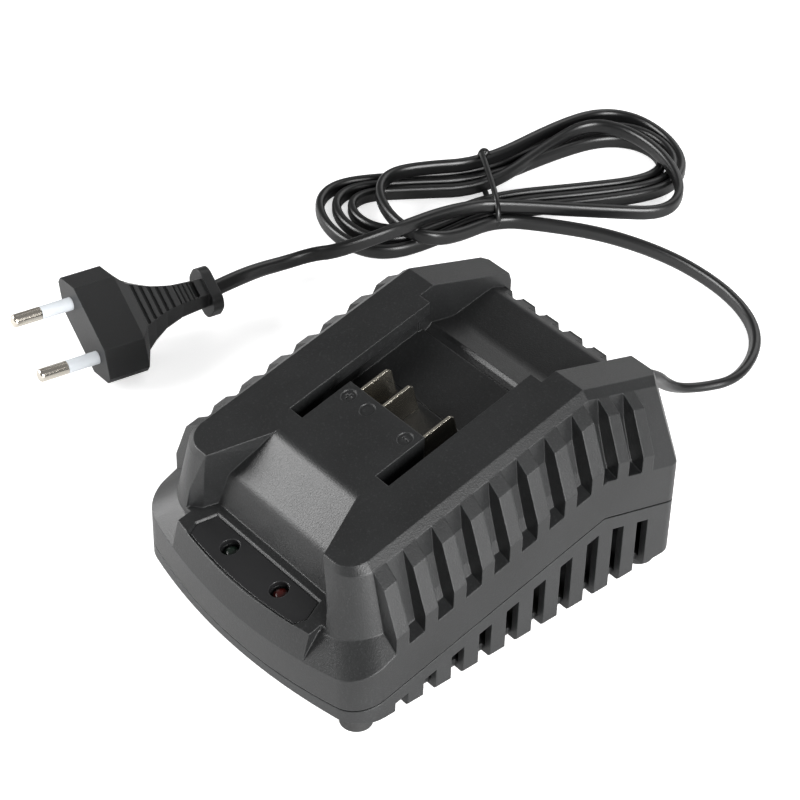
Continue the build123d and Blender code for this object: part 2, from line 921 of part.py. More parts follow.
with BuildPart() as lower_housing:
    extrude(base_plan, amount=reach / 2)
    chamfer(edges().group_by(Axis.Z)[0], bottom_edge_round)
    cross_profile(above_parting, reach, Mode.SUBTRACT)
    extrude(floor_plan, amount=reach, mode=Mode.SUBTRACT)
    for number in range(vent_count):
        vent_y = first_vent_right_y + number * fin_pitch
        near_y = vent_y - vent_width
        vent_profile = [
            (near_y, 0),
            (vent_y, 0),
            (vent_y, level(vent_y, -vent_top_drop)),
            (near_y, level(near_y, -vent_top_drop)),
        ]
        for side in (-1, 1):
            cross_profile(vent_profile, vent_depth, Mode.SUBTRACT, side * half_width)
    for side in (-1, 1):
        for post_y in (front_screw_y, rear_screw_y):
            upright(side * screw_x, post_y, lower_post_diameter, foot_height, reach)
        for post_y in (board_screw_front_y, board_screw_rear_y):
            upright(side * board_screw_x, post_y, board_post_diameter, foot_height, board_z)
    cross_profile(above_parting, reach, Mode.SUBTRACT)
    for side in (-1, 1):
        for post_y in (front_screw_y, rear_screw_y):
            head_z = level(post_y, -screw_clamp)
            upright(side * screw_x, post_y, screw_head_diameter + 2 * screw_clearance, 0, head_z, Mode.SUBTRACT)
            upright(side * screw_x, post_y, screw_diameter + 2 * screw_clearance, 0, reach, Mode.SUBTRACT)
        for post_y in (board_screw_front_y, board_screw_rear_y):
            hole_z = board_z - board_screw_engagement
            upright(side * board_screw_x, post_y, board_screw_diameter, hole_z, board_z, Mode.SUBTRACT)
        for foot_y in (foot_front_y, foot_rear_y):
            pocket_diameter = foot_diameter + 2 * foot_clearance
            upright(side * foot_x, foot_y, pocket_diameter, 0, foot_height + foot_pocket, Mode.SUBTRACT)
    with BuildSketch(side_plane(parting_rear_y)):
        with Locations((0, gland_z)):
            Ellipse(gland_neck_x + gland_clearance, gland_neck_z + gland_clearance)
    extrude(amount=parting_rear_y - cavity_rear_y, mode=Mode.SUBTRACT)
    add(seam.part, mode=Mode.SUBTRACT)
lower_housing.part.label = "lower_housing"
export_step(lower_housing.part, "parts/lower_housing.step")

with BuildPart() as rubber_feet:
    for side in (-1, 1):
        for foot_y in (foot_front_y, foot_rear_y):
            upright(side * foot_x, foot_y, foot_diameter, 0, foot_height + foot_pocket)
    chamfer(edges().group_by(Axis.Z)[0], foot_chamfer)
rubber_feet.part.label = "rubber_feet"
export_step(rubber_feet.part, "parts/rubber_feet.step")

with BuildPart() as housing_screws:
    for side in (-1, 1):
        for post_y in (front_screw_y, rear_screw_y):
            head_z = level(post_y, -screw_clamp)
            upright(side * screw_x, post_y, screw_head_diameter, head_z - screw_head_height, head_z)
            upright(side * screw_x, post_y, screw_diameter, head_z, level(post_y, screw_engagement))
            drive_top = head_z - screw_head_height + screw_drive_depth
            upright(side * screw_x, post_y, screw_drive, 0, drive_top, Mode.SUBTRACT)
housing_screws.part.label = "housing_screws"
export_step(housing_screws.part, "parts/housing_screws.step")

# ---------------------------------------------------------------- window and indicator lamps
with BuildPart() as indicator_window:
    with BuildSketch(window_plane):
        window_outline(0)
        with Locations((-led_hole_x, 0), (led_hole_x, 0)):
            Circle(led_hole_diameter / 2, mode=Mode.SUBTRACT)
    extrude(amount=-window_thickness)
indicator_window.part.label = "indicator_window"
export_step(indicator_window.part, "parts/indicator_window.step")


def lamp(x):
    """Round lamp under a window hole, with its two leads down to the board."""
    with BuildSketch(window_plane.offset(-led_recess)) as lens:
        with Locations((x, 0)):
            Circle(led_diameter / 2)
    extrude(lens.sketch, amount=led_recess - led_height)
    fillet(edges().group_by(Axis.Z)[-1], led_diameter / 2 - led_dome_flat)
    with BuildSketch(window_plane.offset(-led_height)) as flange:
        with Locations((x, 0)):
            Circle(led_flange_diameter / 2)
    extrude(flange.sketch, amount=-led_flange_height)
    with BuildSketch(window_plane.offset(-led_height)) as leads:
        with Locations((x - led_lead_half_gap, 0), (x + led_lead_half_gap, 0)):
            Circle(led_lead_diameter / 2)
    extrude(leads.sketch, amount=-window_mid_z)
    block(-reach, reach, -reach, reach, -reach, board_top, Mode.SUBTRACT)


with BuildPart() as red_led:
    lamp(led_hole_x)
red_led.part.label = "red_led"
export_step(red_led.part, "parts/red_led.step")

with BuildPart() as green_led:
    lamp(-led_hole_x)
green_led.part.label = "green_led"
export_step(green_led.part, "parts/green_led.step")

with BuildPart() as led_holder:
    with BuildSketch(window_plane.offset(-bay_roof / math.hypot(1, window_slope))):
        Rectangle(2 * guide_half_width, 2 * guide_half_depth)
        with Locations((-led_hole_x, 0), (led_hole_x, 0)):
            Circle(led_hole_diameter / 2, mode=Mode.SUBTRACT)
    extrude(amount=-guide_height)
    with BuildSketch(window_plane.offset(-led_height)):
        with Locations((-led_hole_x, 0), (led_hole_x, 0)):
            Circle(led_flange_diameter / 2 + window_clearance)
    extrude(amount=-guide_height, mode=Mode.SUBTRACT)
led_holder.part.label = "led_holder"
export_step(led_holder.part, "parts/led_holder.step")


# ---------------------------------------------------------------- contacts
def blade_outline():
    """Side view of a contact blade, standing square to the deck."""
    length = along(deck_slope, blade_rear_y - blade_front_y)
    floor = -dock_depth / math.hypot(1, deck_slope)
    root = floor - carrier_base / math.hypot(1, deck_slope)
    Polygon(
        (0, floor),
        (0, -blade_top_drop),
        (length - blade_corner, -blade_top_drop),
        (length, -blade_top_drop - blade_corner),
        (length, floor),
        (length - blade_root_step, floor),
        (length - blade_root_step, root),
        (blade_root_step, root),
        (blade_root_step, floor),
        align=None,
    )


def blade_plane(x):
    """Plane of a blade: local x runs up the deck, local y stands square to it."""
    return Plane(origin=(x, blade_front_y, deck(blade_front_y)), x_dir=(0, 1, deck_slope), z_dir=(1, 0, 0))


with BuildPart() as positive_blade:
    with BuildSketch(blade_plane(-blade_outer_x)):
        blade_outline()
    extrude(amount=blade_thickness / 2, both=True)
positive_blade.part.label = "positive_blade"
export_step(positive_blade.part, "parts/positive_blade.step")

with BuildPart() as data_blade:
    with BuildSketch(blade_plane(-blade_inner_x)):
        blade_outline()
    extrude(amount=blade_thickness / 2, both=True)
data_blade.part.label = "data_blade"
export_step(data_blade.part, "parts/data_blade.step")

with BuildPart() as negative_blade:
    with BuildSketch(blade_plane(blade_outer_x)):
        blade_outline()
    extrude(amount=blade_thickness / 2, both=True)
negative_blade.part.label = "negative_blade"
export_step(negative_blade.part, "parts/negative_blade.step")

with BuildPart() as contact_carrier:
    run_section(
        span(tongue_half_width - carrier_clearance, floor_rise - carrier_base, floor_rise),
        carrier_front_y,
        carrier_rear_y,
    )
    run_section(
        span(
            tongue_half_width + carrier_flange_reach,
            floor_rise - dock_wall - carrier_flange,
            floor_rise - dock_wall,
        ),
        carrier_front_y - carrier_flange_reach,
        carrier_rear_y + carrier_flange_reach,
    )
    add(positive_blade.part, mode=Mode.SUBTRACT)
    add(data_blade.part, mode=Mode.SUBTRACT)
    add(negative_blade.part, mode=Mode.SUBTRACT)
contact_carrier.part.label = "contact_carrier"
export_step(contact_carrier.part, "parts/contact_carrier.step")

with BuildPart() as contact_leads:
    for x in (-blade_outer_x, -blade_inner_x, blade_outer_x):
        upright(x, contact_lead_y, contact_lead_diameter, board_top, deck(contact_lead_y))
    cross_profile(
        [
            (front_y, level(front_y, floor_rise - carrier_base)),
            (bend_y, level(bend_y, floor_rise - carrier_base)),
            (bend_y, reach),
            (front_y, reach),
        ],
        reach,
        Mode.SUBTRACT,
    )
contact_leads.part.label = "contact_leads"
export_step(contact_leads.part, "parts/contact_leads.step")

# ---------------------------------------------------------------- circuit board and components
with BuildPart() as circuit_board:
    block(-board_half_width, board_half_width, board_front_y, board_rear_y, board_z, board_top)
    block(-board_tab_half_width, board_tab_half_width, board_tab_y, board_front_y, board_z, board_top)
    for side in (-1, 1):
        for post_y in (board_screw_front_y, board_screw_rear_y):
            hole = board_screw_diameter + 2 * screw_clearance
            upright(side * board_screw_x, post_y, hole, board_z, board_top, Mode.SUBTRACT)
circuit_board.part.label = "circuit_board"
export_step(circuit_board.part, "parts/circuit_board.step")

with BuildPart() as board_screws:
    for side in (-1, 1):
        for post_y in (board_screw_front_y, board_screw_rear_y):
            x = side * board_screw_x
            upright(x, post_y, board_screw_diameter, board_z - board_screw_engagement, board_top)
            upright(x, post_y, board_screw_head, board_top, board_top + board_screw_head_height)
board_screws.part.label = "board_screws"
export_step(board_screws.part, "parts/board_screws.step")

with BuildPart() as transformer_core:
    with BuildSketch(side_plane(transformer_y + transformer_depth / 2)):
        with Locations((transformer_x, board_top + transformer_height / 2)):
            Rectangle(transformer_width, transformer_height)
            Rectangle(
                transformer_width - 2 * transformer_limb,
                transformer_height - 2 * transformer_limb,
                mode=Mode.SUBTRACT,
            )
            Rectangle(transformer_centre_limb, transformer_height)
    extrude(amount=transformer_depth)
transformer_core.part.label = "transformer_core"
export_step(transformer_core.part, "parts/transformer_core.step")

with BuildPart() as transformer_winding:
    with BuildSketch(Plane.XY.offset(board_top + transformer_limb + winding_gap)):
        with Locations((transformer_x, transformer_y)):
            RectangleRounded(
                transformer_width - 2 * transformer_limb - 2 * winding_gap, winding_depth, transformer_limb
            )
            Rectangle(
                transformer_centre_limb + 2 * winding_gap,
                transformer_depth + 2 * winding_gap,
                mode=Mode.SUBTRACT,
            )
    extrude(amount=transformer_height - 2 * transformer_limb - 2 * winding_gap)
transformer_winding.part.label = "transformer_winding"
export_step(transformer_winding.part, "parts/transformer_winding.step")

with BuildPart() as mains_capacitor:
    upright(mains_capacitor_x, mains_capacitor_y, mains_capacitor_diameter, board_top, mains_capacitor_top)
    fillet(edges().group_by(Axis.Z)[-1], capacitor_round)
    with BuildSketch(Plane.XY.offset(mains_capacitor_top)):
        with Locations((mains_capacitor_x, mains_capacitor_y)):
            Rectangle(mains_capacitor_diameter / 2, capacitor_score)
            Rectangle(capacitor_score, mains_capacitor_diameter / 2)
    extrude(amount=-capacitor_score, mode=Mode.SUBTRACT)
mains_capacitor.part.label = "mains_capacitor"
export_step(mains_capacitor.part, "parts/mains_capacitor.step")

with BuildPart() as output_capacitor:
    upright(output_capacitor_x, output_capacitor_y, output_capacitor_diameter, board_top, output_capacitor_top)
    fillet(edges().group_by(Axis.Z)[-1], capacitor_round)
    with BuildSketch(Plane.XY.offset(output_capacitor_top)):
        with Locations((output_capacitor_x, output_capacitor_y)):
            Rectangle(output_capacitor_diameter / 2, capacitor_score)
            Rectangle(capacitor_score, output_capacitor_diameter / 2)
    extrude(amount=-capacitor_score, mode=Mode.SUBTRACT)
output_capacitor.part.label = "output_capacitor"
export_step(output_capacitor.part, "parts/output_capacitor.step")

with BuildPart() as suppression_choke:
    upright(choke_x, choke_y, choke_diameter, board_top, board_top + choke_height)
    upright(choke_x, choke_y, choke_bore, board_top, board_top + choke_height, Mode.SUBTRACT)
    fillet(edges().group_by(Axis.Z)[-1], choke_height / 6)
suppression_choke.part.label = "suppression_choke"
export_step(suppression_choke.part, "parts/suppression_choke.step")

with BuildPart() as filter_capacitor:
    with BuildSketch(Plane.XY.offset(board_top)):
        with Locations((filter_capacitor_x, filter_capacitor_y)):
            RectangleRounded(filter_capacitor_width, filter_capacitor_depth, filter_capacitor_depth / 6)
    extrude(amount=filter_capacitor_height)
filter_capacitor.part.label = "filter_capacitor"
export_step(filter_capacitor.part, "parts/filter_capacitor.step")

with BuildPart() as heat_sink:
    sink_rear_y = heat_sink_y + heat_sink_length / 2
    sink_front_y = heat_sink_y - heat_sink_length / 2
    sink_top = board_top + heat_sink_height
    sink_face_x = heat_sink_x - heat_sink_width / 2
    block(sink_face_x, sink_face_x + heat_sink_base, sink_front_y, sink_rear_y, board_top, sink_top)
    sink_pitch = (heat_sink_length - heat_sink_fin) / (heat_sink_fins - 1)
    for number in range(heat_sink_fins):
        sink_fin_y = sink_front_y + number * sink_pitch
        block(sink_face_x, sink_face_x + heat_sink_width, sink_fin_y, sink_fin_y + heat_sink_fin, board_top, sink_top)
heat_sink.part.label = "heat_sink"
export_step(heat_sink.part, "parts/heat_sink.step")

with BuildPart() as switching_transistor:
    package_z = board_top + transistor_leg
    package_x = sink_face_x - transistor_thickness
    near_y = heat_sink_y - transistor_width / 2
    far_y = heat_sink_y + transistor_width / 2
    block(package_x, sink_face_x, near_y, far_y, package_z, package_z + transistor_height)
    for number in (-1, 0, 1):
        leg_y = heat_sink_y + number * transistor_leg_pitch
        leg_x = package_x + transistor_thickness / 2
        half_leg = transistor_leg_width / 2
        block(leg_x - half_leg, leg_x + half_leg, leg_y - half_leg, leg_y + half_leg, board_top, package_z)
switching_transistor.part.label = "switching_transistor"
export_step(switching_transistor.part, "parts/switching_transistor.step")

with BuildPart() as rectifier:
    near_y = rectifier_y - rectifier_thickness / 2
    far_y = rectifier_y + rectifier_thickness / 2
    near_x = rectifier_x - rectifier_width / 2
    far_x = rectifier_x + rectifier_width / 2
    block(near_x, far_x, near_y, far_y, board_top, board_top + rectifier_height)
    chamfer(edges().filter_by(Axis.Y).sort_by(Axis.Z)[-1], rectifier_corner)
rectifier.part.label = "rectifier"
export_step(rectifier.part, "parts/rectifier.step")

with BuildPart() as fuse:
    with BuildSketch(Plane.YZ.offset(fuse_x)):
        with Locations((fuse_y, board_top + fuse_diameter / 2)):
            Circle(fuse_glass_diameter / 2)
    extrude(amount=fuse_length / 2, both=True)
    for side in (-1, 1):
        with BuildSketch(Plane.YZ.offset(fuse_x + side * (fuse_length - fuse_cap) / 2)):
            with Locations((fuse_y, board_top + fuse_diameter / 2)):
                Circle(fuse_diameter / 2)
        extrude(amount=fuse_cap / 2, both=True)
fuse.part.label = "fuse"
export_step(fuse.part, "parts/fuse.step")

with BuildPart() as control_chip:
    half_length = chip_length / 2
    half_body = chip_width / 2
    block(
        chip_x - half_length,
        chip_x + half_length,
        chip_y - half_body,
        chip_y + half_body,
        board_top + chip_standoff,
        board_top + chip_height,
    )
    for number in range(chip_pins):
        pin_x = chip_x + (number - (chip_pins - 1) / 2) * chip_pin_pitch
        half_pin = chip_pin_width / 2
        half_span = half_body + chip_pin_reach
        block(pin_x - half_pin, pin_x + half_pin, chip_y - half_span, chip_y + half_span, board_top, chip_pin_top)
control_chip.part.label = "control_chip"
export_step(control_chip.part, "parts/control_chip.step")

# ---------------------------------------------------------------- mains lead
with BuildPart() as cord_gland:
    flange_rear_y = rear_y + gland_flange_thickness
    inner_flange_y = rear_y - shell_wall - gland_flange_thickness
    for flange_y, limit_x, limit_z, thickness in (
        (rear_y - shell_wall, gland_flange_x, gland_flange_z, gland_flange_thickness),
        (rear_y, gland_neck_x, gland_neck_z, shell_wall),
        (flange_rear_y, gland_flange_x, gland_flange_z, gland_flange_thickness),
    ):
        with BuildSketch(side_plane(flange_y)):
            with Locations((0, gland_z)):
                Ellipse(limit_x, limit_z)
        extrude(amount=thickness)
    with BuildSketch(side_plane(rear_y + gland_flange_thickness / 2)):
        with Locations((0, gland_z)):
            Ellipse(gland_neck_x, gland_neck_z)
    with BuildSketch(side_plane(gland_end_y)):
        with Locations((0, gland_z)):
            Ellipse(gland_tip_x, gland_tip_z)
    loft()
    for number in range(gland_groove_count):
        groove_y = flange_rear_y + (number + 1) * gland_groove_pitch
        shrink = (groove_y - flange_rear_y) / (gland_end_y - flange_rear_y)
        waist_x = gland_neck_x - gland_groove_inset - shrink * (gland_neck_x - gland_tip_x)
        waist_z = gland_neck_z - gland_groove_inset - shrink * (gland_neck_z - gland_tip_z)
        with BuildSketch(side_plane(groove_y)):
            with Locations((0, gland_z)):
                Circle(2 * gland_flange_x)
                Ellipse(waist_x, waist_z, mode=Mode.SUBTRACT)
        extrude(amount=gland_groove_width, mode=Mode.SUBTRACT)
cord_gland.part.label = "cord_gland"
export_step(cord_gland.part, "parts/cord_gland.step")

with BuildPart() as mains_leads:
    for side in (-1, 1):
        lead_x = side * mains_lead_half_gap
        with BuildLine() as lead_path:
            FilletPolyline(
                (lead_x, inner_flange_y, gland_z),
                (lead_x, mains_lead_y, gland_z),
                (lead_x, mains_lead_y, board_top),
                radius=mains_lead_bend,
            )
        with BuildSketch(Plane(origin=lead_path.line @ 0, z_dir=lead_path.line % 0)) as lead_section:
            Circle(mains_lead_diameter / 2)
        sweep(lead_section.sketch, path=lead_path.line)
mains_leads.part.label = "mains_leads"
export_step(mains_leads.part, "parts/mains_leads.step")


def bend_radii(points):
    """Radius at each bend of a route: as large as its two runs allow."""
    radii = []
    for before, corner, after in zip(points, points[1:], points[2:]):
        arriving = Vector(corner) - Vector(before)
        leaving = Vector(after) - Vector(corner)
        shorter_run = min(arriving.length, leaving.length)
        half_turn = math.radians(arriving.get_angle(leaving)) / 2
        radii.append(bend_share * shorter_run / math.tan(half_turn))
    return radii


def report_cord(name, path, solid, radii):
    """Print the bends of a cord run and how its volume compares with section times length."""
    length = sum(edge.length for edge in path.edges())
    expected = math.pi * cord_diameter**2 / 4 * length
    print(name, "length", round(length, 1), "volume ratio", round(solid.volume / expected, 4))
    print(name, "bend radii", [round(radius, 1) for radius in radii])


with BuildPart() as cord_housing_run:
    housing_points = [(0, gland_end_y, gland_z), (0, gland_end_y + cord_lead_out, gland_z)] + housing_route
    housing_radii = bend_radii(housing_points)
    with BuildLine() as housing_path:
        FilletPolyline(*housing_points, radius=housing_radii)
    with BuildSketch(Plane(origin=housing_path.line @ 0, z_dir=housing_path.line % 0)):
        Circle(cord_diameter / 2)
    sweep()
cord_housing_run.part.label = "cord_housing_run"
export_step(cord_housing_run.part, "parts/cord_housing_run.step")
report_cord("housing run", housing_path.line, cord_housing_run.part, housing_radii)

with BuildPart() as cord_plug_run:
    plug_points = plug_route + [
        (plug_place * Pos(-plug_back - plug_lead_in, 0, 0)).position,
        (plug_place * Pos(-plug_back, 0, 0)).position,
    ]
    plug_radii = bend_radii(plug_points)
    with BuildLine() as plug_path:
        FilletPolyline(*plug_points, radius=plug_radii)
    with BuildSketch(Plane(origin=plug_path.line @ 0, z_dir=plug_path.line % 0)):
        Circle(cord_diameter / 2)
    sweep()
cord_plug_run.part.label = "cord_plug_run"
export_step(cord_plug_run.part, "parts/cord_plug_run.step")
report_cord("plug run", plug_path.line, cord_plug_run.part, plug_radii)

with BuildPart() as cord_hank:
    with BuildSketch():
        Polygon(*hank_outline, align=None)
        fillet(vertices(), hank_round)
    extrude(amount=hank_height)
    with BuildSketch(tie_plane):
        with Locations((0, tie_middle_z)):
            Rectangle(2 * hank_height + 2 * tie_half_span, 3 * hank_height)
            RectangleRounded(2 * waist_half_span, hank_waist_height, hank_round, mode=Mode.SUBTRACT)
    extrude(amount=tie_width / 2 + tie_margin, both=True, mode=Mode.SUBTRACT)
cord_hank.part.label = "cord_hank"
export_step(cord_hank.part, "parts/cord_hank.step")

with BuildPart() as cord_tie:
    with BuildSketch(tie_plane):
        with Locations((0, tie_middle_z)):
            RectangleRounded(2 * tie_half_span, 2 * tie_middle_z, hank_round + tie_thickness + tie_margin)
            RectangleRounded(
                2 * tie_half_span - 2 * tie_thickness,
                2 * tie_middle_z - 2 * tie_thickness,
                hank_round + tie_margin,
                mode=Mode.SUBTRACT,
            )
    extrude(amount=tie_width / 2, both=True)
cord_tie.part.label = "cord_tie"
export_step(cord_tie.part, "parts/cord_tie.step")


# ---------------------------------------------------------------- plug
def plug_plane(distance):
    """Cross plane of the plug, so far behind its face: local x is its width."""
    return Plane(plug_place * Plane(origin=(-distance, 0, 0), x_dir=(0, 1, 0), z_dir=(1, 0, 0)).location)


def plug_outline(limit_x, limit_z, mode=Mode.ADD):
    """Flat six-sided section with blunt side edges."""
    edge = plug_edge_half * limit_x / plug_half_width
    ridge = plug_ridge_half_width * limit_x / plug_half_width
    upper = [(limit_x, -edge), (limit_x, edge), (ridge, limit_z)]
    lower = [(-ridge, -limit_z), (ridge, -limit_z)]
    Polygon(*(mirrored(upper) + lower), align=None, mode=mode)


def neck_size(distance):
    """Half width and half height of the plug's neck, so far behind its face."""
    for near, far in zip(plug_neck_sections, plug_neck_sections[1:]):
        if distance <= far[0]:
            share = (distance - near[0]) / (far[0] - near[0])
            return near[1] + share * (far[1] - near[1]), near[2] + share * (far[2] - near[2])
    return plug_neck_sections[-1][1:]


def cut_groove(distance, width, depth):
    """Groove across the upper and the lower face of the plug's neck."""
    limit_x, limit_z = neck_size(distance)
    ridge = plug_ridge_half_width * limit_x / plug_half_width
    with BuildSketch(plug_plane(distance)) as groove:
        with Locations((0, limit_z), (0, -limit_z)):
            Rectangle(2 * ridge, 2 * depth)
    extrude(groove.sketch, amount=width, mode=Mode.SUBTRACT)


with BuildPart() as plug_body:
    with BuildSketch(plug_plane(0)):
        plug_outline(plug_half_width, plug_half_height)
    with BuildSketch(plug_plane(plug_body_length)):
        plug_outline(plug_half_width, plug_half_height)
    for distance, limit_x, limit_z in plug_neck_sections:
        with BuildSketch(plug_plane(distance)):
            plug_outline(limit_x, limit_z)
    loft(ruled=True)
    with BuildSketch(plug_plane(plug_back)):
        RectangleRounded(2 * plug_collar_half_width, 2 * plug_collar_half_height, plug_collar_round)
    extrude(amount=plug_collar_length)
    for number in range(plug_groove_count):
        cut_groove(plug_first_groove + number * plug_groove_pitch, plug_groove_width, plug_groove_depth)
    first_fine_groove = plug_first_groove + plug_groove_count * plug_groove_pitch
    for number in range(fine_groove_count):
        cut_groove(first_fine_groove + number * fine_groove_pitch, fine_groove_width, fine_groove_depth)
    with BuildSketch(plug_plane(plug_slot_distance)):
        with Locations((0, neck_size(plug_slot_distance)[1])):
            Rectangle(plug_slot_length, 2 * plug_slot_depth)
    extrude(amount=plug_slot_width, mode=Mode.SUBTRACT)
    with BuildSketch(plug_plane(0)):
        with Locations((-pin_spread, 0), (pin_spread, 0)):
            Circle(pin_neck_diameter / 2)
    extrude(amount=-pin_root, mode=Mode.SUBTRACT)
plug_body.part.label = "plug_body"
export_step(plug_body.part, "parts/plug_body.step")

with BuildPart() as plug_pins:
    with BuildSketch(plug_plane(pin_root)):
        with Locations((-pin_spread, 0), (pin_spread, 0)):
            Circle(pin_neck_diameter / 2)
    extrude(amount=pin_root + sleeve_length)
    with BuildSketch(plug_plane(-pin_length)):
        with Locations((-pin_spread, 0), (pin_spread, 0)):
            Circle(pin_diameter / 2)
    extrude(amount=-(pin_length - sleeve_length))
    tips = edges().filter_by(GeomType.CIRCLE).sort_by(SortBy.RADIUS)
    fillet([edge for edge in tips if edge.position_at(0).Y < plug_tip_y], pin_tip_round)
plug_pins.part.label = "plug_pins"
export_step(plug_pins.part, "parts/plug_pins.step")

with BuildPart() as plug_sleeves:
    with BuildSketch(plug_plane(-sleeve_length)):
        with Locations((-pin_spread, 0), (pin_spread, 0)):
            Circle(pin_diameter / 2)
            Circle(pin_neck_diameter / 2, mode=Mode.SUBTRACT)
    extrude(amount=-sleeve_length)
plug_sleeves.part.label = "plug_sleeves"
export_step(plug_sleeves.part, "parts/plug_sleeves.step")
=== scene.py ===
"""Looks of the battery charger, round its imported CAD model: camera, lead, finishes, floor and light."""

import math

import bpy
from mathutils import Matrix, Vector


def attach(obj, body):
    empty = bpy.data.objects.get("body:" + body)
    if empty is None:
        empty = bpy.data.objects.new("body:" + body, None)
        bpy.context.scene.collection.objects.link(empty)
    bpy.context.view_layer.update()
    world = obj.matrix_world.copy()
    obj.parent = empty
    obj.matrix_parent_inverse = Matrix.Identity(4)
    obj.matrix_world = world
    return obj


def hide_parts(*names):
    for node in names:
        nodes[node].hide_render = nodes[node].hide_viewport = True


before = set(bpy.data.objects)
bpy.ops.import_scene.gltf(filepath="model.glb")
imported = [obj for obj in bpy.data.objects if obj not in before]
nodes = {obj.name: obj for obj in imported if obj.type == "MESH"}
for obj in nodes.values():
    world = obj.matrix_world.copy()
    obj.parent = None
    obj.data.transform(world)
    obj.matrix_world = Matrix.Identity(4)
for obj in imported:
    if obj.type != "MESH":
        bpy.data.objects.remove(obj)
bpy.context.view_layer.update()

MM = 0.001

# Camera: place in metres, turns in degrees, lens and sensor in millimetres, the picture's shift as
# a share of its width, and the nearest distance that it shows, in metres.
CAMERA_PLACE = (0.35989, -0.31624, 0.43586)
CAMERA_TURN = (51.653, -1.218, 49.784)
CAMERA_LENS = 108.33
CAMERA_SENSOR = 36.0
CAMERA_SHIFT = (-0.0031, -0.0052)
CAMERA_NEAREST = 0.01

# Mains lead, in millimetres: a flat two-core lead with a groove along each wide side. Its section is
# a rounded oblong: an ellipse where PROFILE_POWER is 2, and the squarer the higher that is.
LEAD_WIDTH = 4.8
LEAD_THICKNESS = 3.0
GROOVE_DEPTH = 0.16
GROOVE_REACH = 0.55
PROFILE_POINTS = 28
PROFILE_POWER = 2.6
FLOOR_GAP = 0.1
LEAD_EDGE_REST = LEAD_WIDTH / 2 + FLOOR_GAP
# Steps in which a smooth line is drawn from one of its points to the next.
LINE_RESOLUTION = 8

# The lead's way to the hank and from the hank to the plug: each point, and the lead's turn there in
# degrees.
FLAT = 0
ON_EDGE = -90
PLUG_TURN = -54
GLAND_END = (0.0, 77.5, 22.14)
HOUSING_ROUTE = [
    (GLAND_END, FLAT),
    ((0.0, 87.5, 22.3), -10),
    ((-1.3, 95.0, 16.6), -25),
    ((-3.6, 101.2, 9.6), -35),
    ((-3.6, 107.5, 4.4), -40),
    ((-0.8, 115.6, LEAD_EDGE_REST), -42),
    ((2.9, 125.4, LEAD_EDGE_REST), -48),
    ((-1.2, 137.8, LEAD_EDGE_REST), -60),
    ((-8.8, 147.2, LEAD_EDGE_REST), -75),
    ((-19.8, 153.4, LEAD_EDGE_REST), -88),
    ((-34.8, 156.6, LEAD_EDGE_REST), ON_EDGE),
    ((-54.2, 155.8, LEAD_EDGE_REST), ON_EDGE),
    ((-74.9, 148.8, LEAD_EDGE_REST), ON_EDGE),
    ((-91.2, 137.4, LEAD_EDGE_REST), ON_EDGE),
]
PLUG_ROUTE = [
    ((-107.5, 118.3, 8.4), ON_EDGE),
    ((-109.3, 106.5, 9.6), ON_EDGE),
    ((-108.6, 91.3, 11.4), ON_EDGE),
    ((-111.3, 80.1, 10.2), ON_EDGE),
    ((-115.6, 70.3, 7.8), ON_EDGE),
    ((-121.6, 66.2, 5.4), ON_EDGE),
    ((-124.2, 57.0, 4.6), ON_EDGE),
    ((-123.6, 47.5, 6.8), ON_EDGE),
    ((-121.2, 36.0, 9.6), PLUG_TURN),
    ((-120.4, 26.0, 10.1), PLUG_TURN),
]

# The hank lies along the line HANK_ALONG through HANK_MIDDLE, in millimetres. The tie crosses that
# line TIE_FORWARD ahead of its middle, and slants. A strand's place under the tie is its distance to
# the right of the line and its height. The lead passes under the tie nine times, twice in the row
# that lies on the others.
HANK_MIDDLE = Vector((-117.4, 133.1))
HANK_ALONG = Vector((0.191, 0.982))
HANK_RIGHT = Vector((HANK_ALONG.y, -HANK_ALONG.x))
TIE_FORWARD = 2.0
TIE_SLANT = -0.37
TOP_ROW = 7.4
TIE_CROSSINGS = [
    (15.2, LEAD_EDGE_REST),
    (-8.6, TOP_ROW),
    (11.2, LEAD_EDGE_REST),
    (-9.4, LEAD_EDGE_REST),
    (7.3, LEAD_EDGE_REST),
    (-5.5, LEAD_EDGE_REST),
    (3.4, LEAD_EDGE_REST),
    (-1.4, LEAD_EDGE_REST),
    (14.0, TOP_ROW),
]
# Each loop between two crossings: how far it reaches, how far right of the line it is at a quarter
# and at three quarters of its way, and its height at a quarter, at its tip and at three quarters.
HANK_LOOPS = [
    (37.0, 19.2, -17.0, 6.6, 7.4, 7.6),
    (71.0, -21.5, 26.5, 4.2, 2.6, 2.6),
    (55.5, 15.5, -26.0, 2.6, 2.6, 2.6),
    (67.0, -16.0, 23.0, 2.6, 2.6, 2.6),
    (50.0, 11.5, -21.5, 2.6, 2.6, 2.6),
    (62.0, -9.5, 18.5, 2.6, 2.6, 2.6),
    (45.0, 7.5, -16.5, 2.6, 2.6, 2.6),
    (61.0, -13.0, 39.5, 8.0, 7.8, 4.2),
]
# A loop reaches out like half a wave, and the lower LOOP_POWER is, the blunter its tip.
LOOP_POINTS = 8
LOOP_POWER = 0.7

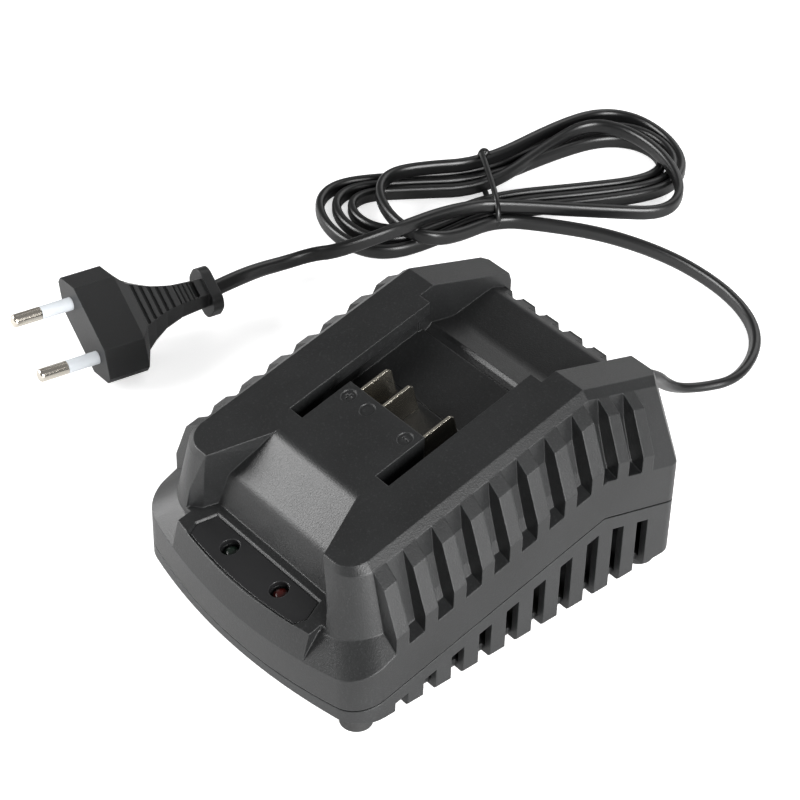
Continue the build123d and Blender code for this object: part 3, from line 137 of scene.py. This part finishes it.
# Tie round the hank, in millimetres: its ring is given by distances to the right of the hank's line
# and heights. Its two ends are twisted together at the left and point ahead, rising by KNOT_RISE.
TIE_RADIUS = 0.95
TIE_ROUNDNESS = 4
TIE_RING = [
    (-9.8, 10.3),
    (0.0, 10.7),
    (9.0, 10.5),
    (14.5, 9.9),
    (17.9, 6.8),
    (17.9, 2.0),
    (15.5, TIE_RADIUS),
    (0.0, TIE_RADIUS),
    (-9.0, TIE_RADIUS),
    (-12.0, 1.4),
    (-12.3, 5.0),
    (-11.9, 9.2),
]
KNOT_RADIUS = 0.9
KNOT_LENGTH = 2.6
KNOT_RISE = 0.4
KNOT_TURNS = 0.75
KNOT_POINTS = 12


def camera():
    """The camera at the height and angle from which the charger is seen."""
    data = bpy.data.cameras.new("camera")
    data.sensor_width = CAMERA_SENSOR
    data.lens = CAMERA_LENS
    data.shift_x, data.shift_y = CAMERA_SHIFT
    data.clip_start = CAMERA_NEAREST
    viewer = bpy.data.objects.new("camera", data)
    viewer.location = CAMERA_PLACE
    viewer.rotation_euler = [math.radians(turn) for turn in CAMERA_TURN]
    bpy.context.scene.collection.objects.link(viewer)
    bpy.context.scene.camera = viewer


def between(start, end, share):
    """The value at a share of the way from start to end."""
    return start + (end - start) * share


def hank_place(along, right, height):
    """A point of the hank in the row frame, in millimetres."""
    spot = HANK_MIDDLE + along * HANK_ALONG + right * HANK_RIGHT
    return (spot.x, spot.y, height)


def tie_along(right):
    """How far along the hank the slanting tie is, at a distance to the right of its line."""
    return TIE_FORWARD + TIE_SLANT * right


def height_on_loop(way, heights):
    """Height at a share of the way round a loop, from its heights at equal steps of that way."""
    steps = way * (len(heights) - 1)
    mark = min(int(steps), len(heights) - 2)
    return between(heights[mark], heights[mark + 1], steps - mark)


def share_across(way):
    """How much of the distance between its crossings a loop has covered, at a share of its way."""
    return (1 - math.cos(math.pi * way)) / 2


def hank_loop(start, end, reach, first_right, last_right, middle_heights):
    """Control points of one loop, from a crossing at the tie to just before the next."""
    start_right, start_height = start
    end_right, end_height = end
    heights = [start_height, *middle_heights, end_height]
    quarter = share_across(1 / 4)
    swing_first = first_right - between(start_right, end_right, quarter)
    swing_last = last_right - between(start_right, end_right, 1 - quarter)
    # Half a wave of size shift and a whole one of size spread bring the loop to both those places.
    shift = (swing_first + swing_last) / 2 / math.sin(math.pi / 4)
    spread = (swing_first - swing_last) / 2
    points = []
    for step in range(LOOP_POINTS):
        way = step / LOOP_POINTS
        share = share_across(way)
        swing = math.sin(math.pi * way)
        along = between(tie_along(start_right), tie_along(end_right), share)
        along += reach * swing**LOOP_POWER
        right = between(start_right, end_right, share) + shift * swing
        right += spread * math.sin(math.tau * way)
        points.append(hank_place(along, right, height_on_loop(way, heights)))
    return points


def hank_route():
    """Control points of the hank, whose loops lie by turns behind and ahead of the tie."""
    points = []
    for number, (reach, first_right, last_right, *middle_heights) in enumerate(HANK_LOOPS):
        start, end = TIE_CROSSINGS[number : number + 2]
        side = -1 if number % 2 == 0 else 1
        points += hank_loop(start, end, side * reach, first_right, last_right, middle_heights)
    end_right, end_height = TIE_CROSSINGS[-1]
    points.append(hank_place(tie_along(end_right), end_right, end_height))
    return points


def oblong(part, size):
    """A coordinate of the rounded oblong, from the same coordinate of a circle of radius 1."""
    return math.copysign(abs(part) ** (2 / PROFILE_POWER), part) * size / 2


def lead_profile():
    """The lead's section in millimetres, as a hidden curve that the lead is drawn with."""
    data = bpy.data.curves.new("lead_profile", "CURVE")
    data.dimensions = "2D"
    line = data.splines.new("POLY")
    line.points.add(PROFILE_POINTS - 1)
    line.use_cyclic_u = True
    for number, point in enumerate(line.points):
        turn = math.tau * number / PROFILE_POINTS
        across = oblong(math.cos(turn), LEAD_WIDTH)
        up = oblong(math.sin(turn), LEAD_THICKNESS)
        groove = GROOVE_DEPTH * math.exp(-((across / GROOVE_REACH) ** 2))
        up -= math.copysign(groove, up)
        point.co = (across, up, 0, 1)
    profile = bpy.data.objects.new("lead_profile", data)
    bpy.context.scene.collection.objects.link(profile)
    profile.hide_render = True
    profile.hide_viewport = True
    return profile


def add_line(curve, route, closed=False):
    """Adds a quadratic NURBS line to a curve, from control points in millimetres and their turns."""
    line = curve.splines.new("NURBS")
    line.points.add(len(route) - 1)
    for point, (place, turn) in zip(line.points, route):
        point.co = (*(value * MM for value in place), 1)
        point.tilt = math.radians(turn)
        # A point's radius scales the section, and here turns its millimetres into metres.
        point.radius = MM
    line.order_u = 3
    line.use_endpoint_u = not closed
    line.use_cyclic_u = closed
    line.resolution_u = LINE_RESOLUTION


def smooth_curve(name, route, closed=False):
    """A curve piece of one smooth line, in the row frame."""
    data = bpy.data.curves.new(name, "CURVE")
    data.dimensions = "3D"
    data.twist_mode = "Z_UP"
    data.use_fill_caps = True
    add_line(data, route, closed)
    piece = bpy.data.objects.new(name, data)
    bpy.context.scene.collection.objects.link(piece)
    return piece


def mains_lead():
    """The whole lead, from the gland through the hank to the plug."""
    hank = [(place, ON_EDGE) for place in hank_route()]
    lead = smooth_curve("mains_lead", HOUSING_ROUTE + hank + PLUG_ROUTE)
    lead.data.bevel_mode = "OBJECT"
    lead.data.bevel_object = lead_profile()
    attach(lead, "root")
    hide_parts("cord_housing_run", "cord_hank", "cord_plug_run")
    return lead


def twisted_end(start, first_turn):
    """Control points of one of the tie's two ends, which winds about a line from start."""
    ahead = Vector((*(HANK_ALONG + HANK_RIGHT), KNOT_RISE)).normalized()
    side = ahead.cross(Vector((0, 0, 1))).normalized()
    lift = side.cross(ahead)
    route = []
    for number in range(KNOT_POINTS):
        way = number / (KNOT_POINTS - 1)
        turn = first_turn + math.tau * KNOT_TURNS * way
        swing = KNOT_RADIUS * (math.cos(turn) * side + math.sin(turn) * lift)
        route.append((start + KNOT_LENGTH * way * ahead + swing, FLAT))
    return route


def tie():
    """Round tie about the hank, with its ends twisted together where it turns down at the left."""
    ring = [hank_place(tie_along(right), right, height) for right, height in TIE_RING]
    band = smooth_curve("tie", [(place, FLAT) for place in ring], closed=True)
    for first_turn in (0.0, math.pi):
        add_line(band.data, twisted_end(Vector(ring[-1]), first_turn))
    band.data.bevel_depth = TIE_RADIUS
    band.data.bevel_resolution = TIE_ROUNDNESS
    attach(band, "root")
    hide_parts("cord_tie")
    return band


def line_length(piece):
    """Length of a curve's own line in metres, read from a copy of the curve without its section."""
    data = piece.data.copy()
    data.bevel_object = None
    bare = bpy.data.objects.new("bare_line", data)
    places = [vertex.co for vertex in bpy.data.meshes.new_from_object(bare).vertices]
    length = sum((end - start).length for start, end in zip(places, places[1:]))
    bpy.data.objects.remove(bare)
    return length


camera()
lead = mains_lead()
band = tie()
lead_length = line_length(lead)

# Finishes: colour, roughness, size and depth of the grain in millimetres, share by which the colour
# varies, how much lighter the edges are painted as a highlight, how bright the painted glints (specks) are,
# and metallic.
FINISHES = {
    "shell": dict(
        colour=(0.0072, 0.0075, 0.0077), rough=0.40, grain=0.40, depth=0.05, vary=0.2, edge_highlight=0.8, painted_glint=0.8
    ),
    "bottom_shell": dict(
        colour=(0.0105, 0.0109, 0.0112), rough=0.42, grain=0.40, depth=0.05, vary=0.2, edge_highlight=0.7, painted_glint=0.8
    ),
    "plate": dict(colour=(0.010, 0.010, 0.0105), rough=0.30, grain=0.9, depth=0.004, vary=0.12, edge_highlight=0.9),
    "red_lens": dict(colour=(0.035, 0.003, 0.002), rough=0.2, grain=0.7, depth=0.004, vary=0.2, edge_highlight=0.2),
    "green_lens": dict(colour=(0.006, 0.012, 0.008), rough=0.2, grain=0.7, depth=0.004, vary=0.2, edge_highlight=0.2),
    "nickel": dict(colour=(0.66, 0.62, 0.53), rough=0.25, grain=0.9, depth=0.0006, vary=0.05, metal=1.0),
    "pin": dict(colour=(0.72, 0.67, 0.59), rough=0.2, grain=0.9, depth=0.0006, vary=0.05, metal=1.0),
    "steel": dict(
        colour=(0.42, 0.42, 0.43), rough=0.34, grain=0.4, depth=0.006, vary=0.2, edge_highlight=0.3, metal=1.0
    ),
    "copper": dict(
        colour=(0.72, 0.36, 0.2), rough=0.35, grain=0.4, depth=0.004, vary=0.2, edge_highlight=0.2, metal=1.0
    ),
    "aluminium": dict(
        colour=(0.62, 0.63, 0.64), rough=0.4, grain=0.5, depth=0.008, vary=0.15, edge_highlight=0.2, metal=1.0
    ),
    "rubber": dict(
        colour=(0.018, 0.018, 0.018), rough=0.72, grain=0.25, depth=0.02, vary=0.25, edge_highlight=0.3, painted_glint=0.2
    ),
    "cord": dict(colour=(0.0030, 0.0031, 0.0032), rough=0.34, grain=0.8, depth=0.006, vary=0.12, painted_glint=0.05),
    "plug": dict(
        colour=(0.0085, 0.0087, 0.0090), rough=0.38, grain=0.4, depth=0.02, vary=0.16, edge_highlight=0.5, painted_glint=0.3
    ),
    "sleeve": dict(colour=(0.60, 0.63, 0.66), rough=0.32, grain=0.8, depth=0.005, vary=0.06, edge_highlight=0.1),
    "board": dict(
        colour=(0.09, 0.12, 0.035), rough=0.5, grain=0.6, depth=0.01, vary=0.25, edge_highlight=0.3, painted_glint=0.3
    ),
    "tape": dict(colour=(0.55, 0.42, 0.06), rough=0.35, grain=0.7, depth=0.01, vary=0.15, edge_highlight=0.2),
    "ferrite": dict(
        colour=(0.03, 0.03, 0.032), rough=0.6, grain=0.3, depth=0.02, vary=0.2, edge_highlight=0.4, painted_glint=0.3
    ),
    "sleeving": dict(colour=(0.03, 0.035, 0.05), rough=0.3, grain=0.8, depth=0.004, vary=0.15, edge_highlight=0.1),
    "yellow_film": dict(colour=(0.62, 0.47, 0.05), rough=0.38, grain=0.6, depth=0.008, vary=0.12, edge_highlight=0.2),
    "glass": dict(colour=(0.42, 0.46, 0.44), rough=0.12, grain=0.8, depth=0.002, vary=0.1, edge_highlight=0.1),
    "epoxy": dict(
        colour=(0.015, 0.015, 0.016), rough=0.5, grain=0.25, depth=0.01, vary=0.2, edge_highlight=0.3, painted_glint=0.1
    ),
    "wire_red": dict(colour=(0.30, 0.02, 0.02), rough=0.4, grain=0.6, depth=0.006, vary=0.12, edge_highlight=0.1),
}
NODE_FINISHES = {
    "upper_housing": "shell",
    "lower_housing": "bottom_shell",
    "rubber_feet": "rubber",
    "housing_screws": "steel",
    "indicator_window": "plate",
    "red_led": "red_lens",
    "green_led": "green_lens",
    "led_holder": "epoxy",
    "positive_blade": "nickel",
    "data_blade": "nickel",
    "negative_blade": "nickel",
    "contact_carrier": "shell",
    "contact_leads": "copper",
    "circuit_board": "board",
    "board_screws": "steel",
    "transformer_core": "ferrite",
    "transformer_winding": "tape",
    "mains_capacitor": "sleeving",
    "output_capacitor": "sleeving",
    "suppression_choke": "copper",
    "filter_capacitor": "yellow_film",
    "heat_sink": "aluminium",
    "switching_transistor": "epoxy",
    "rectifier": "epoxy",
    "fuse": "glass",
    "control_chip": "epoxy",
    "cord_gland": "cord",
    "mains_leads": "wire_red",
    "plug_body": "plug",
    "plug_pins": "pin",
    "plug_sleeves": "sleeve",
}

# Grain, stains and painted glints (specks) are noises: their sizes are in millimetres, and limits are the
# values of the noise between which the change comes in. Specks are painted glints, at most the glint factor
# times as bright as the colour.
GRAIN_DETAIL = 3.0
GRAIN_LIMITS = (0.3, 0.7)
STAIN_SIZE = 22.0
STAIN_DETAIL = 2.0
STAIN_LIMITS = (0.35, 0.65)
GLINT_SIZE = 0.55
GLINT_DETAIL = 1.0
GLINT_LIMITS = (0.58, 0.74)
GLINT_FACTOR = 2.4
# Edges are shaded as if rounded, by a radius in millimetres. The limits of the painted edge highlight are
# the cosines of the angle by which that shading turns from the real surface.
EDGE_RADIUS = 0.45
EDGE_SAMPLES = 4
EDGE_HIGHLIGHT_LIMITS = (0.985, 0.80)
# Painted highlight: edges are painted as the colour times this factor, plus this amount.
EDGE_HIGHLIGHT_FACTOR = 3.0
EDGE_HIGHLIGHT_ADDED = 0.004
# The roughness varies by this share of what the colour varies.
GLOSS_SHARE = 0.5
SHINE = 0.5


def noise(tree, place, size, detail):
    """Noise from 0 to 1, of a size in millimetres."""
    node = tree.nodes.new("ShaderNodeTexNoise")
    node.inputs["Scale"].default_value = 1 / (size * MM)
    node.inputs["Detail"].default_value = detail
    tree.links.new(place, node.inputs["Vector"])
    return node.outputs["Fac"]


def remap(tree, value, limits, results):
    """A value carried from its limits over to the results, and held there outside them."""
    node = tree.nodes.new("ShaderNodeMapRange")
    for name, number in zip(("From Min", "From Max", "To Min", "To Max"), (*limits, *results)):
        node.inputs[name].default_value = number
    tree.links.new(value, node.inputs["Value"])
    return node.outputs["Result"]


def mix(tree, share, first, second):
    """A mix of two colours, each given as three numbers or as another node's output."""
    node = tree.nodes.new("ShaderNodeMix")
    node.data_type = "RGBA"
    tree.links.new(share, node.inputs["Factor"])
    for name, colour in (("A", first), ("B", second)):
        socket = [entry for entry in node.inputs if entry.name == name and entry.type == "RGBA"][0]
        if isinstance(colour, tuple):
            socket.default_value = (*colour, 1)
        else:
            tree.links.new(colour, socket)
    return [entry for entry in node.outputs if entry.type == "RGBA"][0]


def scaled(colour, factor, added=0.0):
    """A colour made brighter or darker, with none of its numbers above 1."""
    return tuple(min(value * factor + added, 1) for value in colour)


def make_finish(name, colour, rough, grain, depth, vary, edge_highlight=0.0, painted_glint=0.0, metal=0.0):
    """A procedural material: moulded or ground grain, uneven colour and gloss, painted glints, and edges
    painted lighter as a highlight.
    """
    material = bpy.data.materials.new(name)
    material.use_nodes = True
    tree = material.node_tree
    new, link = tree.nodes.new, tree.links.new
    shader = tree.nodes["Principled BSDF"]
    shader.inputs["Metallic"].default_value = metal
    shader.inputs["Specular IOR Level"].default_value = SHINE
    place = new("ShaderNodeTexCoord").outputs["Object"]
    grain_noise = noise(tree, place, grain, GRAIN_DETAIL)
    stains = remap(tree, noise(tree, place, STAIN_SIZE, STAIN_DETAIL), STAIN_LIMITS, (0, 1))
    shade = mix(tree, stains, scaled(colour, 1 - vary), scaled(colour, 1 + vary))
    # Painted glints: specks painted lighter into the colour.
    if painted_glint:
        glint_mask = remap(tree, noise(tree, place, GLINT_SIZE, GLINT_DETAIL), GLINT_LIMITS, (0, painted_glint))
        shade = mix(tree, glint_mask, shade, scaled(colour, GLINT_FACTOR))
    rounded = new("ShaderNodeBevel")
    rounded.samples = EDGE_SAMPLES
    rounded.inputs["Radius"].default_value = EDGE_RADIUS * MM
    # Painted highlight: edges are painted lighter where the rounded shading turns from the surface.
    if edge_highlight:
        facing = new("ShaderNodeVectorMath")
        facing.operation = "DOT_PRODUCT"
        link(rounded.outputs["Normal"], facing.inputs[0])
        link(new("ShaderNodeNewGeometry").outputs["Normal"], facing.inputs[1])
        painted_highlight = remap(tree, facing.outputs["Value"], EDGE_HIGHLIGHT_LIMITS, (0, edge_highlight))
        shade = mix(tree, painted_highlight, shade, scaled(colour, EDGE_HIGHLIGHT_FACTOR, EDGE_HIGHLIGHT_ADDED))
    link(shade, shader.inputs["Base Color"])
    uneven = vary * GLOSS_SHARE
    gloss = remap(tree, grain_noise, GRAIN_LIMITS, (rough * (1 + uneven), rough * (1 - uneven)))
    link(gloss, shader.inputs["Roughness"])
    bump = new("ShaderNodeBump")
    bump.inputs["Distance"].default_value = depth * MM
    link(grain_noise, bump.inputs["Height"])
    link(rounded.outputs["Normal"], bump.inputs["Normal"])
    link(bump.outputs["Normal"], shader.inputs["Normal"])
    return material


finishes = {name: make_finish(name, **values) for name, values in FINISHES.items()}
for name, finish in NODE_FINISHES.items():
    nodes[name].data.materials.clear()
    nodes[name].data.materials.append(finishes[finish])
lead.data.materials.append(finishes["cord"])
band.data.materials.append(finishes["cord"])

# Floor, background and light: lengths in metres, and each lamp's place, size and power in watts. The
# camera sees a glowing floor and a white sky, and neither shines that brightly on the charger.
WHITE = (1, 1, 1, 1)
FLOOR_SIZE = 3.0
FLOOR_COLOUR = (0.86, 0.86, 0.86, 1)
FLOOR_ROUGHNESS = 0.9
FLOOR_SHINE = 0.1
FLOOR_GLOW = 0.6
SKY_LIGHT = 0.22
SKY_SEEN = 1.0
LAMPS = [
    ("lamp_left", (-1.1, -0.9, 0.6), 0.8, 28.0),
    ("lamp_right", (1.3, -0.25, 0.5), 0.9, 52.0),
    ("lamp_back", (-0.3, 1.2, 0.9), 1.2, 7.0),
]
LAMP_AIM = Vector((-0.03, 0.04, 0.02))


def seen_directly(tree):
    """1 for what the camera sees, itself or through glass, and 0 for light on its way to a surface."""
    path = tree.nodes.new("ShaderNodeLightPath")
    either = tree.nodes.new("ShaderNodeMath")
    either.operation = "MAXIMUM"
    tree.links.new(path.outputs["Is Camera Ray"], either.inputs[0])
    tree.links.new(path.outputs["Is Transmission Ray"], either.inputs[1])
    return either.outputs[0]


def floor():
    """The white surface that the charger and its lead lie on."""
    half = FLOOR_SIZE / 2
    corners = [(-half, -half, 0), (half, -half, 0), (half, half, 0), (-half, half, 0)]
    mesh = bpy.data.meshes.new("floor")
    mesh.from_pydata(corners, [], [(0, 1, 2, 3)])
    plane = bpy.data.objects.new("floor", mesh)
    bpy.context.scene.collection.objects.link(plane)
    material = bpy.data.materials.new("floor")
    material.use_nodes = True
    tree = material.node_tree
    shader = tree.nodes["Principled BSDF"]
    shader.inputs["Base Color"].default_value = FLOOR_COLOUR
    shader.inputs["Roughness"].default_value = FLOOR_ROUGHNESS
    shader.inputs["Specular IOR Level"].default_value = FLOOR_SHINE
    shader.inputs["Emission Color"].default_value = WHITE
    glow = tree.nodes.new("ShaderNodeMath")
    glow.operation = "MULTIPLY"
    glow.inputs[1].default_value = FLOOR_GLOW
    tree.links.new(seen_directly(tree), glow.inputs[0])
    tree.links.new(glow.outputs[0], shader.inputs["Emission Strength"])
    mesh.materials.append(material)


def sky():
    """The white background, and the weak light that comes from all round."""
    world = bpy.data.worlds.new("studio")
    world.use_nodes = True
    tree = world.node_tree
    background = tree.nodes["Background"]
    background.inputs["Color"].default_value = WHITE
    level = remap(tree, seen_directly(tree), (0, 1), (SKY_LIGHT, SKY_SEEN))
    tree.links.new(level, background.inputs["Strength"])
    bpy.context.scene.world = world


def lamps():
    """Square lamps, aimed at the charger."""
    for name, place, size, power in LAMPS:
        data = bpy.data.lights.new(name, "AREA")
        data.size = size
        data.energy = power
        lamp = bpy.data.objects.new(name, data)
        lamp.location = place
        lamp.rotation_euler = (LAMP_AIM - Vector(place)).to_track_quat("-Z", "Y").to_euler()
        bpy.context.scene.collection.objects.link(lamp)


floor()
sky()
lamps()
bpy.context.scene.view_settings.view_transform = "Standard"

# The boxes of the new pieces are known only after this update.
bpy.context.view_layer.update()
